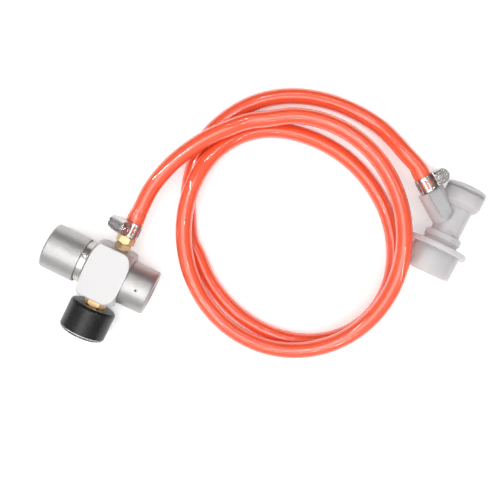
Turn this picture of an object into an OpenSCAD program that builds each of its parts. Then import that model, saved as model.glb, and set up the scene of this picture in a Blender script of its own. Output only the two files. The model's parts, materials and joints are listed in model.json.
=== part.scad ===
// Mini keg regulator with its gauge, gas hose and ball lock gas disconnect.
// The regulator lies on its side: +X runs from the adjusting knob to the cylinder inlet,
// +Y from the gauge to the hose barb and +Z up. The origin is the middle of the regulator's
// footprint on the surface that it lies on.

/* [Regulator block] */
// Length of the block along the main axis
block_length = 26; // [22:0.5:34]
// Width of the block between its two port faces
block_height = 33.6; // [31:0.4:40]
// Thickness of the block between its two flat sides
block_depth = 28.6; // [28:0.2:32]
// Distance of the two ports from the middle of the block, toward the inlet
port_shift = 1.6; // [0:0.1:2]
// Radius of the threaded port holes
port_r = 4.4; // [4:0.1:5]

/* [Knob and bonnet] */
// Diameter of the adjusting knob
knob_d = 28.4; // [27.6:0.2:34]
// Length of the adjusting knob
knob_length = 22; // [18:0.5:30]
// Thickness of the knob's closed end
knob_end = 3.5; // [2.5:0.5:5]
// Thickness of the knob's skirt over the bonnet
knob_wall = 0.75; // [0.6:0.05:2]
// Length of bonnet that shows between the knob and the block
neck_gap = 3.7; // [3:0.1:6]
// Travel of the knob for one turn
thread_pitch = 1; // [0.5:0.25:1.25]
// Turns of the knob from backed off to fully in
knob_turns = 2; // [1:0.5:2]

/* [Inlet] */
// Outer diameter of the inlet
inlet_d = 28.2; // [26:0.2:34]
// Length of the inlet beyond the block
inlet_length = 17; // [15:0.5:24]
// Radius of the inlet's threaded bore
inlet_bore_r = 8.7; // [8.2:0.1:9.4]
// Diameter of the vent hole in the side of the inlet
vent_d = 1.5; // [1:0.1:2.5]

/* [Gauge] */
// Diameter of the gauge case
gauge_d = 29; // [28:0.5:40]
// Depth of the gauge case without its lens
gauge_depth = 17.2; // [16.5:0.2:22]
// Height of the lens above the case
lens_proud = 2; // [1:0.1:3]
// Length of the brass hex between the block and the gauge
stem_length = 5; // [3:0.5:9]
// Width across the corners of the gauge's hex
stem_hex = 14; // [12:0.5:15]

/* [Outlet fitting] */
// Width across the corners of the outlet's upper hex
outlet_hex = 11.8; // [11:0.2:14]
// Height of the outlet's upper hex
outlet_hex_height = 4.5; // [3:0.5:7]
// Height of the lower collar on the block
outlet_collar_height = 4.2; // [3:0.2:6]
// Length of the barbed tail
barb_length = 12.5; // [12:0.5:16]
// Largest radius of the barbs
barb_r = 4; // [3.6:0.1:4.2]

/* [Hose] */
// Outer diameter of the hose
hose_d = 10; // [9.5:0.1:10.4]
// Outer diameter of the hose where it is stretched over a barb
cuff_d = 11; // [10.8:0.1:11.4]
// Number of turns in the coil
coil_turns = 1.75; // [1.5:0.25:1.75]
// Number of sides of the hose's free stretches
hose_sides = 10; // [8:1:12]

/* [Hose clamps] */
// Width of the clamp's band
band_width = 9; // [7:0.5:10]
// Thickness of the band
band_thick = 0.6; // [0.5:0.1:0.8]
// Outer radius of the screw housing
housing_r = 4.6; // [4.4:0.1:5]
// Length of the screw housing
housing_length = 9; // [8:0.5:11]
// Radius over the screw's thread
worm_r = 2.4; // [2:0.1:2.4]

/* [Disconnect] */
// Whole length of the disconnect
quick_length = 57; // [57:0.5:64]
// Diameter of its top end
head_d = 24.4; // [23:0.2:28]
// Diameter of the body's stem
stem_d = 18; // [17.5:0.1:20]
// Diameter of the locking sleeve's flange
flange_d = 35.8; // [34:0.2:40]
// Thickness of the flange
flange_thick = 3.6; // [3:0.2:3.8]
// Outer diameter of the locking sleeve
sleeve_d = 29.2; // [28:0.2:32]
// Travel of the locking sleeve
sleeve_travel = 3; // [2:0.25:3]
// Angle of the hose port to the disconnect's axis
port_angle = 56; // [54:1:60]
// Diameter of the hose port
quick_port_d = 16; // [14.5:0.1:16.4]
// Distance of the hose port's end from the disconnect's axis
quick_port_reach = 24; // [23:0.5:26]
// Radius of the bore that seals on the keg post
seal_bore_r = 7; // [6.6:0.1:7.2]
// Radius of the socket round the keg post
socket_r = 8.75; // [8.6:0.05:8.8]
// Diameter of the locking balls
ball_d = 3.2; // [3:0.1:3.2]

/* [Hidden] */
$fn = 72;

// Steps in a rounded edge of a turned profile
round_steps = 6;
// Overrun of every cut past the face that it opens
over = 0.5;
// Gap round a piece that is fixed in its seat
seat_gap = 0.05;
// Radial gap of a piece that turns or slides in its bore
run_gap = 0.08;
// Gap between a loose piece and what carries it
loose_gap = 0.2;

// Places along the main axis
regulator_length = knob_length + neck_gap + block_length + inlet_length;
knob_x = -regulator_length / 2;
block_x = knob_x + knob_length + neck_gap;
inlet_x = block_x + block_length;
port_x = block_x + block_length / 2 + port_shift;
gauge_reach = block_height / 2 + stem_length + gauge_depth + lens_proud;
outlet_reach = block_height / 2 + outlet_collar_height + outlet_hex_height + barb_length;
axis_y = (gauge_reach - outlet_reach) / 2;
axis_z = max(gauge_d, block_depth, knob_d, inlet_d) / 2;
knob_r = knob_d / 2;
skirt_gap = 0.55;
neck_d = knob_d - 2 * (knob_wall + skirt_gap);
neck_r = neck_d / 2;
inlet_r = inlet_d / 2;

// Rounding of the block: along its long edges, and where its ends are turned
block_edge_r = 0.8;
block_corner_r = sqrt(pow(block_height, 2) + pow(block_depth, 2)) / 2;
left_bevel = 1.2;
left_turned = 5;
right_turned = 8;
foot_step = 0.1;

// Bores of the block, from its bonnet end to its inlet end
bonnet_bore_r = 11;
bonnet_bore_depth = 5;
piston_bore_r = 9;
web_thick = 1.4;
web_from_inlet = 11.1;
web_start = block_length - web_from_inlet;
web_hole_r = 1.6;
valve_bore_r = 5;
adapter_bore_r = 7;
adapter_bore_depth = 4.4;
port_depth = 7.2;
passage_r = 1.5;

// Bonnet, button and spring
spring_chamber_r = 8.45;
knob_travel = thread_pitch * knob_turns;
knob_clearance = 1;
knob_hub_r = 4;
knob_hub_length = 1.2;
knob_skirt = 5;
knob_skirt_r = neck_r + skirt_gap;
knob_edge_r = 1.5;
knob_rim_r = 0.5;
neck_groove = 0.5;
button_thick = 3;
button_post_r = 3;
bonnet_start = knob_x + knob_end + knob_travel + knob_clearance;
button_gap = 0.5;
button_x = bonnet_start + button_gap;
spring_x = button_x + button_thick;
main_spring_r = 6;
main_wire = 2;
main_coils = 6;

// Piston and valve
piston_gap = 0.4;
piston_thick = 5;
piston_x = block_x + bonnet_bore_depth + piston_gap;
piston_post_r = 3;
piston_post_gap = 1.7;
piston_post_end = block_x + web_start - piston_post_gap;
o_ring_r = 0.85;
o_ring_groove = 1.9;
o_ring_play = 0.1;
o_ring_inset = 0.04;
valve_seat_thick = 1.6;
valve_seat_hole_r = 1.4;
valve_pin_r = 0.9;
valve_head_r = 3.4;
valve_head_thick = 1.2;
valve_spring_r = 2.9;
valve_wire = 0.5;
valve_coils = 3;
valve_travel = 0.6;
seat_x = block_x + web_start + web_thick;
valve_head_x = seat_x + valve_seat_thick;
adapter_spigot_x = inlet_x - adapter_bore_depth;

// Inside of the inlet, measured from the block
gas_passage_r = 2.5;
pin_pocket = 3.1;
seal_pocket = 4.3;
thread_start = 6;
inlet_chamfer = 1.4;
inlet_edge_r = 1.5;
pin_flange_r = 3.6;
seal_r = 7.9;
seal_hole_r = 4.2;
filter_thick = 2;
pin_tip_r = 1.2;
pin_vent_r = 0.45;

// Gauge, measured from the back of its case toward its dial
gauge_r = gauge_d / 2;
case_edge_r = 2;
case_wall = 1.3;
case_back = 1.5;
case_inner_r = gauge_r - case_wall;
lens_thick = 1.2;
lens_step = 0.4;
lens_rim_r = gauge_r - lens_step;
lens_edge_r = 1.2;
lens_seat = 1.2;
dial_depth = 4.2;
dial_z = gauge_depth - dial_depth;
dial_thick = 0.5;
needle_gap = 0.5;
needle_z = dial_z + dial_thick + needle_gap;
needle_thick = 0.4;
needle_length = 10;
plate_z = 7.4;
plate_thick = 0.8;
sector_z = plate_z + plate_thick + loose_gap;
gear_thick = 0.8;
gear_module = 0.45;
gear_root_share = 1.15;
gear_tip_share = 0.7;
gear_foot_share = 0.32;
gear_crest_share = 0.09;
pinion_teeth = 8;
sector_teeth = 40;
sector_span = 9;
pinion_r = gear_module * pinion_teeth / 2;
sector_r = gear_module * sector_teeth / 2;
arbor_r = 0.7;
sector_pin_r = 0.9;
sector_pivot = pinion_r + sector_r;
stem_shaft_r = 3.5;
stem_block = 8;
bourdon_r = 9;
bourdon_thick = 1.4;
bourdon_height = 3.6;
bourdon_z = 2.6;
bourdon_foot = 20;
movement_gap = 0.4;
movement_z = bourdon_z + bourdon_height + movement_gap;

// Outlet fitting, measured from the block's face
collar_start = 0.6;
collar_hex_share = 0.93;
barb_root_r = 3.1;
barb_count = 3;
barb_end_share = 0.5;
barb_bore_r = 1.6;
cuff_gap = 0.3;
cuff_taper = 4;
cuff_over = 1;
cuff_end = outlet_reach + cuff_over;

// The coil: two ovals, the first on top of the second, and the height of the hose's middle
hose_r = hose_d / 2;
layer_gap = 0.6;
layer = hose_d + layer_gap;
coil_dip = 1.6;
coil_rings = 24;
coil_sides = 6;
spring_rings = 10;
gap_steps = 4;
coil_start_angle = 130;
oval_one = [95.8, 72.5];
oval_one_radii = [66.4, 72];
oval_one_tilt = 32;
oval_two = [98.5, 71];
oval_two_radii = [59, 70];
oval_two_tilt = 66;
swap_start = 0.8;
swap_end = 1.1;
rest_height = 26.5;
coil_heights = [
  [0, hose_r + layer], [0.3, rest_height], [0.58, hose_r + layer - coil_dip],
  [0.76, hose_r + layer], [0.85, hose_r + layer], [0.99, hose_r], [2, hose_r]
];

// Route of the hose from the regulator to the coil, after its cuff
lead_points = [[6.3, 60, 15], [11.5, 80, 15.6], [22, 100, 16], [32, 112.6, 16]];
// Route of the hose from the coil to the disconnect, before its cuff
tail_points = [
  [32.4, 56, 5], [26, 70, 5], [22.4, 86, 5], [22, 102, 5], [28.5, 120, 5], [40.5, 136.5, 5],
  [57, 148.6, 5], [77, 155.8, 5], [97, 158, 5.6], [115, 156, 8.6], [127, 151.4, 13.4],
  [135.6, 147.1, 17]
];

// The disconnect's place: the top of its axis
quick_x = 179;
quick_y = 145.6;
quick_z = flange_d / 2;
head_r = head_d / 2;
stem_r = stem_d / 2;
flange_r = flange_d / 2;
sleeve_r = sleeve_d / 2;

// Body of the disconnect, measured from its top end toward its socket
cap_thick = 3.2;
cap_dome = 0.8;
head_end = 11;
taper_end = 14;
stem_step = 0.4;
notch_step = 0.8;
chamber_r = 5.5;
chamber_end = 30;
valve_web = 3;
valve_hole_r = 3;
recess_r = 4.4;
seal_bore_start = 35.5;
seal_bore_end = 45;
ring_start = 31.6;
ring_end = 36.5;
ring_r = 11.4;
ring_slope = 1.2;
tube_r = 10.6;
tube_inset = 0.4;
tube_end = quick_length - tube_inset;
mouth_depth = 1;
mouth_slope = 1.2;
quick_port_z = 25.2;
quick_passage_r = 2.2;
quick_barb = 12.5;
cap_plug_r = 6.9;
cap_plug_end = 8;
cap_seal_r = 0.8;
cap_seal_pocket = 1.8;
spring_pocket_r = 4.6;
spring_pocket = 4;

// Poppet
poppet_head_r = 4.7;
poppet_head_start = 26.4;
poppet_seal_thick = 1;
poppet_stem_r = 2.2;
poppet_tip = 35.2;
poppet_guide_start = 19;
poppet_guide_r = 2.2;
poppet_travel = 3;
poppet_spring_r = 3.6;
poppet_wire = 0.8;
poppet_coils = 8;

// Locking sleeve
sleeve_start = 38.6;
lip_thick = 1.2;
lip_r = 11.8;
spring_bore_r = 12.6;
spring_bore_end = 46.6;
guide_end = 49.6;
guide_r = tube_r + run_gap;
ball_z = 51.5;
ball_r = ball_d / 2;
ball_out = 9.4;
ball_travel = 0.9;
cam_gap = 0.1;
cam_r = ball_out + ball_r + cam_gap;
cam_ease_share = 0.06;
cam_slope = ball_travel / sleeve_travel + cam_ease_share;
retainer_start = sleeve_start + lip_thick + loose_gap;
retainer_thick = 1;
retainer_r = 12.2;
retainer_groove = 0.6;
sleeve_spring_r = 11.7;
sleeve_wire = 0.8;
sleeve_coils = 3;

// Hose clamp, measured from the hose's axis
band_r = cuff_d / 2 + seat_gap;
band_over_r = band_r + band_thick;
band_lap = 64;
saddle_r = band_over_r + band_thick + 2 * seat_gap;
screw_r_place = 9.3;
housing_wall = 0.6;
slot_length_share = 0.62;
slot_width = 1.1;
slot_step = 25;
slot_count = 11;
worm_core_r = 1.7;
screw_head = 3.4;
screw_head_r = 4.2;
screw_slot = 1;
screw_pitch = 1;
screw_boss_r = 1.8;
screw_plate = 0.6;
screw_edge_r = 1.2;

// A quarter round of a turned profile as points, from one angle to another
function arc_points(centre, radius, from, to) =
  [for (i = [0 : round_steps]) let (a = from + (to - from) * i / round_steps)
    centre + radius * [cos(a), sin(a)]];

function unit(v) = v / norm(v);

function smooth(s) = let (c = max(0, min(1, s))) c * c * (3 - 2 * c);

// A height between the two nearest entries of a table, eased in and out
function eased(t, table) =
  let (k = max([for (i = [0 : len(table) - 2]) table[i][0] <= t ? i : 0]))
  table[k][1] + (table[k + 1][1] - table[k][1])
    * smooth((t - table[k][0]) / (table[k + 1][0] - table[k][0]));

// A point of an oval, by its angle about the oval's middle
function oval_point(middle, radii, tilt, angle) =
  middle + radii[0] * cos(angle - tilt) * [cos(tilt), sin(tilt)]
    + radii[1] * sin(angle - tilt) * [-sin(tilt), cos(tilt)];

// The middle of the hose in the coil after a number of turns
function coil_point(t) =
  let (
    angle = coil_start_angle - 360 * t,
    one = oval_point(oval_one, oval_one_radii, oval_one_tilt, angle),
    two = oval_point(oval_two, oval_two_radii, oval_two_tilt, angle),
    s = smooth((t - swap_start) / (swap_end - swap_start)),
    flat = one * (1 - s) + two * s
  ) [flat[0], flat[1], eased(t, coil_heights)];

coil_steps = round(coil_rings * coil_turns);
coil_run = [for (i = [0 : coil_steps]) coil_point(i * coil_turns / coil_steps)];
coil_first = coil_run[0] - hose_d * unit(coil_run[1] - coil_run[0]);
coil_last = coil_run[coil_steps] + hose_d * unit(coil_run[coil_steps] - coil_run[coil_steps - 1]);
coil_route = concat([coil_first], coil_run, [coil_last]);

port_way = [-sin(port_angle), cos(port_angle), 0];
quick_port_at = [quick_x, quick_y - quick_port_z, quick_z] + quick_port_reach * port_way;
tail_cuff_end = quick_barb + cuff_over;
lead_start = [port_x, axis_y + cuff_end + cuff_taper - over, axis_z];
tail_end = quick_port_at + (tail_cuff_end + cuff_taper - over) * port_way;
lead_route = concat([lead_start], lead_points, [coil_first]);
tail_route = concat([coil_last], tail_points, [tail_end]);

// A route with more points on each straight, to measure it on
function dense(r) = [
  for (i = [0 : len(r) - 2]) for (k = [0 : gap_steps - 1]) r[i] + (r[i + 1] - r[i]) * k / gap_steps
];

// The least gap between places of a tube that lie at least a third of a turn apart
function self_gap(p) = min([
  for (i = [0 : len(p) - 1]) for (j = [i + gap_steps * coil_rings / 3 : 1 : len(p) - 1])
    norm(p[i] - p[j]) - hose_d
]);

function between_gap(a, b) = min([for (p = a) for (q = b) norm(p - q) - hose_d]);

function route_length(r) =
  [for (i = [1 : len(r) - 1]) norm(r[i] - r[i - 1])] * [for (i = [1 : len(r) - 1]) 1];

echo(coil_least_gap = self_gap(dense(coil_route)));
echo(lead_to_tail_gap = between_gap(dense(lead_route), dense(tail_route)));
echo(hose_lengths = [route_length(lead_route), route_length(coil_route), route_length(tail_route)]);

// The direction of a route at one of its points
function route_way(r, i, first, last) =
  i == 0 ? first : i == len(r) - 1 ? last : unit(unit(r[i + 1] - r[i]) + unit(r[i] - r[i - 1]));

// One ring of a tube, square to the way that the tube runs
function tube_ring(p, way, radius, sides) =
  let (
    side = unit(cross(way, [0, 0, 1])),
    up = cross(side, way)
  ) [for (k = [0 : sides - 1]) let (a = 360 * (k + 0.5) / sides)
      p + radius * (cos(a) * side + sin(a) * up)];

// A closed skin over rings of points, with flat ends
module skin(rings) {
  n = len(rings);
  sides = len(rings[0]);
  walls = [
    for (i = [0 : n - 2]) for (k = [0 : sides - 1])
      let (a = i * sides + k, b = i * sides + (k + 1) % sides)
      each [[a, b, a + sides], [b, b + sides, a + sides]]
  ];
  start = [for (k = [1 : sides - 2]) [0, k + 1, k]];
  end = [for (k = [1 : sides - 2]) let (e = (n - 1) * sides) [e, e + k, e + k + 1]];
  polyhedron(points = [for (r = rings) each r], faces = concat(walls, start, end));
}

// A tube along a route; first and last are the directions of its two ends
module tube(route, radius, sides, first, last) {
  skin([for (i = [0 : len(route) - 1]) tube_ring(route[i], route_way(route, i, first, last), radius, sides)]);
}

// A wire spring in one piece along +Z, from end to end of its length
module coil_spring(radius, wire, coils, length) {
  steps = spring_rings * coils;
  rise = length - wire;
  skin([for (i = [0 : steps])
    let (a = 360 * i / spring_rings, middle = [radius * cos(a), radius * sin(a), wire / 2 + rise * i / steps])
    [for (k = [0 : coil_sides - 1]) let (b = 360 * k / coil_sides)
      middle + wire / 2 * (cos(b) * [cos(a), sin(a), 0] + sin(b) * [0, 0, 1])]]);
}

// Puts a piece drawn along +Z on the main axis, with its foot at x
module on_axis(x) {
  translate([x, axis_y, axis_z]) rotate([0, 90, 0]) children();
}

// Puts a piece drawn along +Z on the port toward the hose, with its foot on the block
module on_outlet() {
  translate([port_x, axis_y + block_height / 2, axis_z]) rotate([-90, 0, 0]) children();
}

// Puts a piece drawn along +Z on the port toward the gauge, with its foot on the block
module on_gauge_port() {
  translate([port_x, axis_y - block_height / 2, axis_z]) rotate([90, 0, 0]) children();
}

// Puts a piece drawn from the gauge's back toward its dial
module in_gauge() {
  on_gauge_port() translate([0, 0, stem_length]) children();
}

// Puts a piece drawn from the disconnect's top end toward its socket
module in_quick() {
  translate([quick_x, quick_y, quick_z]) rotate([90, 0, 0]) children();
}

// Puts a piece drawn along +Z on the hose port of the disconnect, with its foot on the port's end
module on_quick_port() {
  translate(quick_port_at) rotate([0, 0, port_angle]) rotate([-90, 0, 0]) children();
}

module ring(outer, inner, height) {
  difference() {
    cylinder(r = outer, h = height);
    translate([0, 0, -over]) cylinder(r = inner, h = height + 2 * over);
  }
}

// A hex bar whose corners are cut back at both ends
module hex_bar(across, height) {
  flat_r = across / 2 * cos(30) - seat_gap;
  wide_r = across / 2 + over;
  cut = (wide_r - flat_r) * tan(30);
  intersection() {
    cylinder(d = across, h = height, $fn = 6);
    rotate_extrude() polygon([
      [0, 0], [flat_r, 0], [wide_r, cut], [wide_r, height - cut], [flat_r, height], [0, height]
    ]);
  }
}

// A barbed tail along +Z with its gas bore
module barbed_tail(length) {
  step = length / (barb_count + barb_end_share);
  difference() {
    union() {
      cylinder(r = barb_root_r, h = length);
      for (i = [0 : barb_count - 1])
        translate([0, 0, length - (i + 1) * step])
          cylinder(r1 = barb_r, r2 = barb_root_r - seat_gap, h = step);
    }
    translate([0, 0, -over]) cylinder(r = barb_bore_r, h = length + 2 * over);
  }
}

// A hose end stretched over a barb, with its taper back to the hose
module hose_cuff(reach) {
  difference() {
    union() {
      translate([0, 0, cuff_gap]) cylinder(d = cuff_d, h = reach - cuff_gap);
      translate([0, 0, reach]) cylinder(d1 = cuff_d, d2 = hose_d, h = cuff_taper);
    }
    cylinder(r = barb_r + seat_gap, h = reach - seat_gap);
  }
}

// The block's outline across the main axis, with rounded long edges
module block_section() {
  w = block_depth - 2 * block_edge_r;
  h = block_height - 2 * block_edge_r;
  square([w, block_height], center = true);
  square([block_depth, h], center = true);
  for (x = [-1, 1]) for (y = [-1, 1]) translate([x * w / 2, y * h / 2]) circle(r = block_edge_r);
}

// The turned ends of the block as a profile: radius against distance along the block
function turned_end(foot, run, at, sign) =
  [for (i = [0 : round_steps]) let (a = 90 * i / round_steps)
    [foot + (block_corner_r - foot) * sin(a), at + sign * run * (1 - cos(a))]];

module body_block() {
  left_foot = block_depth / 2 - left_bevel + foot_step;
  right_foot = block_depth / 2 + 2 * foot_step;
  right = turned_end(right_foot, right_turned, block_length, -1);
  color("gainsboro") difference() {
    on_axis(block_x) intersection() {
      linear_extrude(block_length) block_section();
      rotate_extrude() polygon(concat(
        [[0, 0], [left_foot, 0]],
        turned_end(left_foot + left_bevel, left_turned, left_bevel, 1),
        [for (i = [round_steps : -1 : 0]) right[i]],
        [[0, block_length]]
      ));
    }
    on_axis(block_x) {
      translate([0, 0, -over]) cylinder(r = bonnet_bore_r, h = bonnet_bore_depth + over);
      cylinder(r = piston_bore_r, h = web_start);
      cylinder(r = web_hole_r, h = block_length);
      translate([0, 0, web_start + web_thick]) cylinder(r = valve_bore_r, h = block_length);
      translate([0, 0, block_length - adapter_bore_depth])
        cylinder(r = adapter_bore_r, h = adapter_bore_depth + over);
    }
    on_outlet() block_port();
    on_gauge_port() block_port();
  }
}

module block_port() {
  translate([0, 0, -port_depth]) cylinder(r = port_r, h = port_depth + over);
  translate([0, 0, piston_bore_r - block_height / 2 - over])
    cylinder(r = passage_r, h = block_height / 2 - piston_bore_r);
}

module bonnet() {
  out = block_x - bonnet_start;
  groove = block_x - knob_x - knob_length - neck_gap / 3;
  color("silver") on_axis(bonnet_start) difference() {
    union() {
      cylinder(r = neck_r, h = out);
      cylinder(r = bonnet_bore_r - seat_gap, h = out + bonnet_bore_depth);
    }
    translate([0, 0, -over])
      cylinder(r = spring_chamber_r, h = out + bonnet_bore_depth + 2 * over);
    translate([0, 0, out - groove]) ring(neck_r + over, neck_r - neck_groove / 2, neck_groove);
  }
}

module adjusting_knob() {
  bore_r = neck_r + run_gap;
  color("silver") on_axis(knob_x) difference() {
    rotate_extrude() polygon(concat(
      [[0, 0]],
      arc_points([knob_r - knob_edge_r, knob_edge_r], knob_edge_r, -90, 0),
      arc_points([knob_r - knob_rim_r, knob_length - knob_rim_r], knob_rim_r, 0, 90),
      [[0, knob_length]]
    ));
    translate([0, 0, knob_end]) ring(bore_r, knob_hub_r, knob_hub_length + over);
    translate([0, 0, knob_end + knob_hub_length]) cylinder(r = bore_r, h = knob_length);
    translate([0, 0, knob_length - knob_skirt]) cylinder(r = knob_skirt_r, h = knob_skirt + over);
  }
}

module spring_button() {
  post = button_x - knob_x - knob_end - knob_hub_length;
  color("slategray") on_axis(button_x) {
    cylinder(r = spring_chamber_r - run_gap, h = button_thick);
    translate([0, 0, -post]) cylinder(r = button_post_r, h = post);
  }
}

module main_spring() {
  color("dimgray") on_axis(spring_x + seat_gap)
    coil_spring(main_spring_r, main_wire, main_coils, piston_x - spring_x - 2 * seat_gap);
}

module piston() {
  color("goldenrod") on_axis(piston_x) difference() {
    union() {
      cylinder(r = piston_bore_r - run_gap, h = piston_thick);
      cylinder(r = piston_post_r, h = piston_post_end - piston_x);
    }
    translate([0, 0, (piston_thick - o_ring_groove) / 2])
      ring(piston_bore_r + over, piston_bore_r - 2 * o_ring_r - o_ring_play, o_ring_groove);
  }
}

module piston_o_ring() {
  color("black") on_axis(piston_x + piston_thick / 2)
    rotate_extrude() translate([piston_bore_r - o_ring_r - o_ring_inset, 0]) circle(r = o_ring_r, $fn = 24);
}

module valve_seat() {
  color("white") on_axis(seat_x)
    ring(valve_bore_r - seat_gap, valve_seat_hole_r, valve_seat_thick);
}

module valve_pin() {
  color("goldenrod") on_axis(piston_post_end) {
    cylinder(r = valve_pin_r, h = valve_head_x - piston_post_end);
    translate([0, 0, valve_head_x - piston_post_end]) cylinder(r = valve_head_r, h = valve_head_thick);
  }
}

module valve_spring() {
  start = valve_head_x + valve_head_thick + seat_gap;
  color("silver") on_axis(start)
    coil_spring(valve_spring_r, valve_wire, valve_coils, adapter_spigot_x - start - seat_gap);
}

module inlet_adapter() {
  color("silver") difference() {
    on_axis(inlet_x) difference() {
      union() {
        rotate_extrude() polygon(concat(
          [[0, 0], [inlet_r, 0]],
          arc_points([inlet_r - inlet_edge_r, inlet_length - inlet_edge_r], inlet_edge_r, 0, 90),
          [[0, inlet_length]]
        ));
        translate([0, 0, -adapter_bore_depth])
          cylinder(r = adapter_bore_r - seat_gap, h = adapter_bore_depth + over);
      }
      translate([0, 0, -adapter_bore_depth - over])
        cylinder(r = gas_passage_r, h = adapter_bore_depth + pin_pocket + 2 * over);
      translate([0, 0, pin_pocket]) cylinder(r = pin_flange_r + seat_gap, h = inlet_length);
      translate([0, 0, seal_pocket]) cylinder(r = seal_r + seat_gap, h = inlet_length);
      translate([0, 0, thread_start]) cylinder(r = inlet_bore_r, h = inlet_length);
      translate([0, 0, inlet_length - inlet_chamfer])
        cylinder(r1 = inlet_bore_r, r2 = inlet_bore_r + 2 * inlet_chamfer, h = 2 * inlet_chamfer);
    }
    translate([inlet_x + inlet_length / 2, axis_y, axis_z])
      cylinder(d = vent_d, h = inlet_r + over);
  }
}

module inlet_filter() {
  color("darkgoldenrod") on_axis(inlet_x + pin_pocket - filter_thick - loose_gap)
    cylinder(r = gas_passage_r - seat_gap, h = filter_thick);
}

module inlet_pin() {
  flange = seal_pocket - pin_pocket;
  color("goldenrod") on_axis(inlet_x + pin_pocket) difference() {
    union() {
      cylinder(r = pin_flange_r, h = flange);
      cylinder(r = pin_tip_r, h = thread_start - pin_pocket - loose_gap);
    }
    for (a = [0 : 120 : 240]) rotate(a) translate([(pin_tip_r + gas_passage_r) / 2, 0, -over])
      cylinder(r = pin_vent_r, h = flange + 2 * over);
  }
}

module inlet_seal() {
  color("white") on_axis(inlet_x + seal_pocket)
    ring(seal_r, seal_hole_r, thread_start - seal_pocket - seat_gap);
}

module outlet_fitting() {
  collar = outlet_collar_height - collar_start - collar_start;
  hex_end = outlet_collar_height + outlet_hex_height;
  color("gold") on_outlet() difference() {
    union() {
      translate([0, 0, -port_depth + loose_gap])
        cylinder(r = port_r - seat_gap, h = port_depth + outlet_collar_height);
      translate([0, 0, collar_start]) rotate(30) hex_bar(outlet_hex * collar_hex_share, collar);
      translate([0, 0, outlet_collar_height]) hex_bar(outlet_hex, outlet_hex_height);
      translate([0, 0, hex_end]) barbed_tail(barb_length);
    }
    translate([0, 0, -port_depth - over])
      cylinder(r = barb_bore_r, h = port_depth + hex_end + barb_length + 2 * over);
  }
}

module gauge_stem() {
  arm = bourdon_r + bourdon_thick;
  color("goldenrod") on_gauge_port() difference() {
    union() {
      translate([0, 0, -port_depth + loose_gap]) cylinder(r = port_r - seat_gap, h = port_depth);
      hex_bar(stem_hex, stem_length);
      translate([0, 0, stem_length - over]) cylinder(r = stem_shaft_r, h = over + case_back + seat_gap);
      translate([-stem_block / 2, -arm, stem_length + case_back + seat_gap])
        cube([stem_block, arm + stem_block / 2, movement_z - case_back - seat_gap]);
    }
    translate([0, 0, -port_depth - over]) cylinder(r = barb_bore_r, h = port_depth + stem_length + case_back);
  }
}

module gauge_case() {
  color("black") in_gauge() difference() {
    rotate_extrude() polygon(concat(
      [[0, 0]],
      arc_points([gauge_r - case_edge_r, case_edge_r], case_edge_r, -90, 0),
      [[gauge_r, gauge_depth], [0, gauge_depth]]
    ));
    translate([0, 0, case_back]) cylinder(r = case_inner_r, h = gauge_depth);
    translate([0, 0, -over]) cylinder(r = stem_shaft_r + seat_gap, h = case_back + 2 * over);
  }
}

module gauge_lens() {
  color("white", 0.4) in_gauge() difference() {
    union() {
      translate([0, 0, gauge_depth]) rotate_extrude() polygon(concat(
        [[0, 0], [lens_rim_r, 0]],
        arc_points([lens_rim_r - lens_edge_r, lens_proud - lens_edge_r], lens_edge_r, 0, 90),
        [[0, lens_proud]]
      ));
      translate([0, 0, gauge_depth - lens_seat]) cylinder(r = case_inner_r - seat_gap, h = lens_seat + over);
    }
    translate([0, 0, gauge_depth - lens_seat - over])
      cylinder(r = case_inner_r - lens_thick, h = lens_seat + lens_proud - lens_thick + over);
  }
}

// The dial is carried by the gauge's plate on two posts
module gauge_dial() {
  plate_top = plate_z + plate_thick;
  color("white") in_gauge() {
    translate([0, 0, dial_z]) ring(case_inner_r - seat_gap, arbor_r + loose_gap, dial_thick);
    for (a = [-50, 230]) rotate(a) translate([case_inner_r - 2 * sector_pin_r, 0, plate_top])
      cylinder(r = sector_pin_r, h = dial_z - plate_top + dial_thick / 2);
  }
}

// A flat gear outline; its teeth are slim, so that they run free
function gear_points(teeth, span) =
  let (r = gear_module * teeth / 2, pitch = 360 / teeth,
       root = r - gear_root_share * gear_module, tip = r + gear_tip_share * gear_module)
  [for (i = [0 : span - 1]) let (a = i * pitch)
    each [
      root * [cos(a - gear_foot_share * pitch), sin(a - gear_foot_share * pitch)],
      tip * [cos(a - gear_crest_share * pitch), sin(a - gear_crest_share * pitch)],
      tip * [cos(a + gear_crest_share * pitch), sin(a + gear_crest_share * pitch)],
      root * [cos(a + gear_foot_share * pitch), sin(a + gear_foot_share * pitch)]
    ]];

// Needle, arbor and pinion are one turning piece
module gauge_needle() {
  color("red") in_gauge() {
    translate([0, 0, plate_z - loose_gap])
      cylinder(r = arbor_r, h = needle_z + needle_thick - plate_z + loose_gap);
    translate([0, 0, sector_z]) rotate(180 / pinion_teeth) linear_extrude(gear_thick)
      polygon(gear_points(pinion_teeth, pinion_teeth));
    translate([0, 0, needle_z]) rotate(-45) {
      cylinder(r = 2 * arbor_r, h = needle_thick);
      linear_extrude(needle_thick) polygon([
        [-needle_length / 4, -arbor_r], [needle_length, -arbor_r / 4],
        [needle_length, arbor_r / 4], [-needle_length / 4, arbor_r]
      ]);
    }
  }
}

// The toothed sector that turns the pinion; one tooth meets it at rest
module gauge_sector() {
  lead = 360 / sector_teeth * (sector_span - 2);
  color("goldenrod") in_gauge() translate([0, sector_pivot, sector_z]) rotate(-90 - lead) difference() {
    union() {
      linear_extrude(gear_thick) polygon(concat([[0, 0]], gear_points(sector_teeth, sector_span)));
      cylinder(r = 2 * sector_pin_r, h = gear_thick);
    }
    translate([0, 0, -over]) cylinder(r = sector_pin_r + run_gap, h = gear_thick + 2 * over);
  }
}

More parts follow.
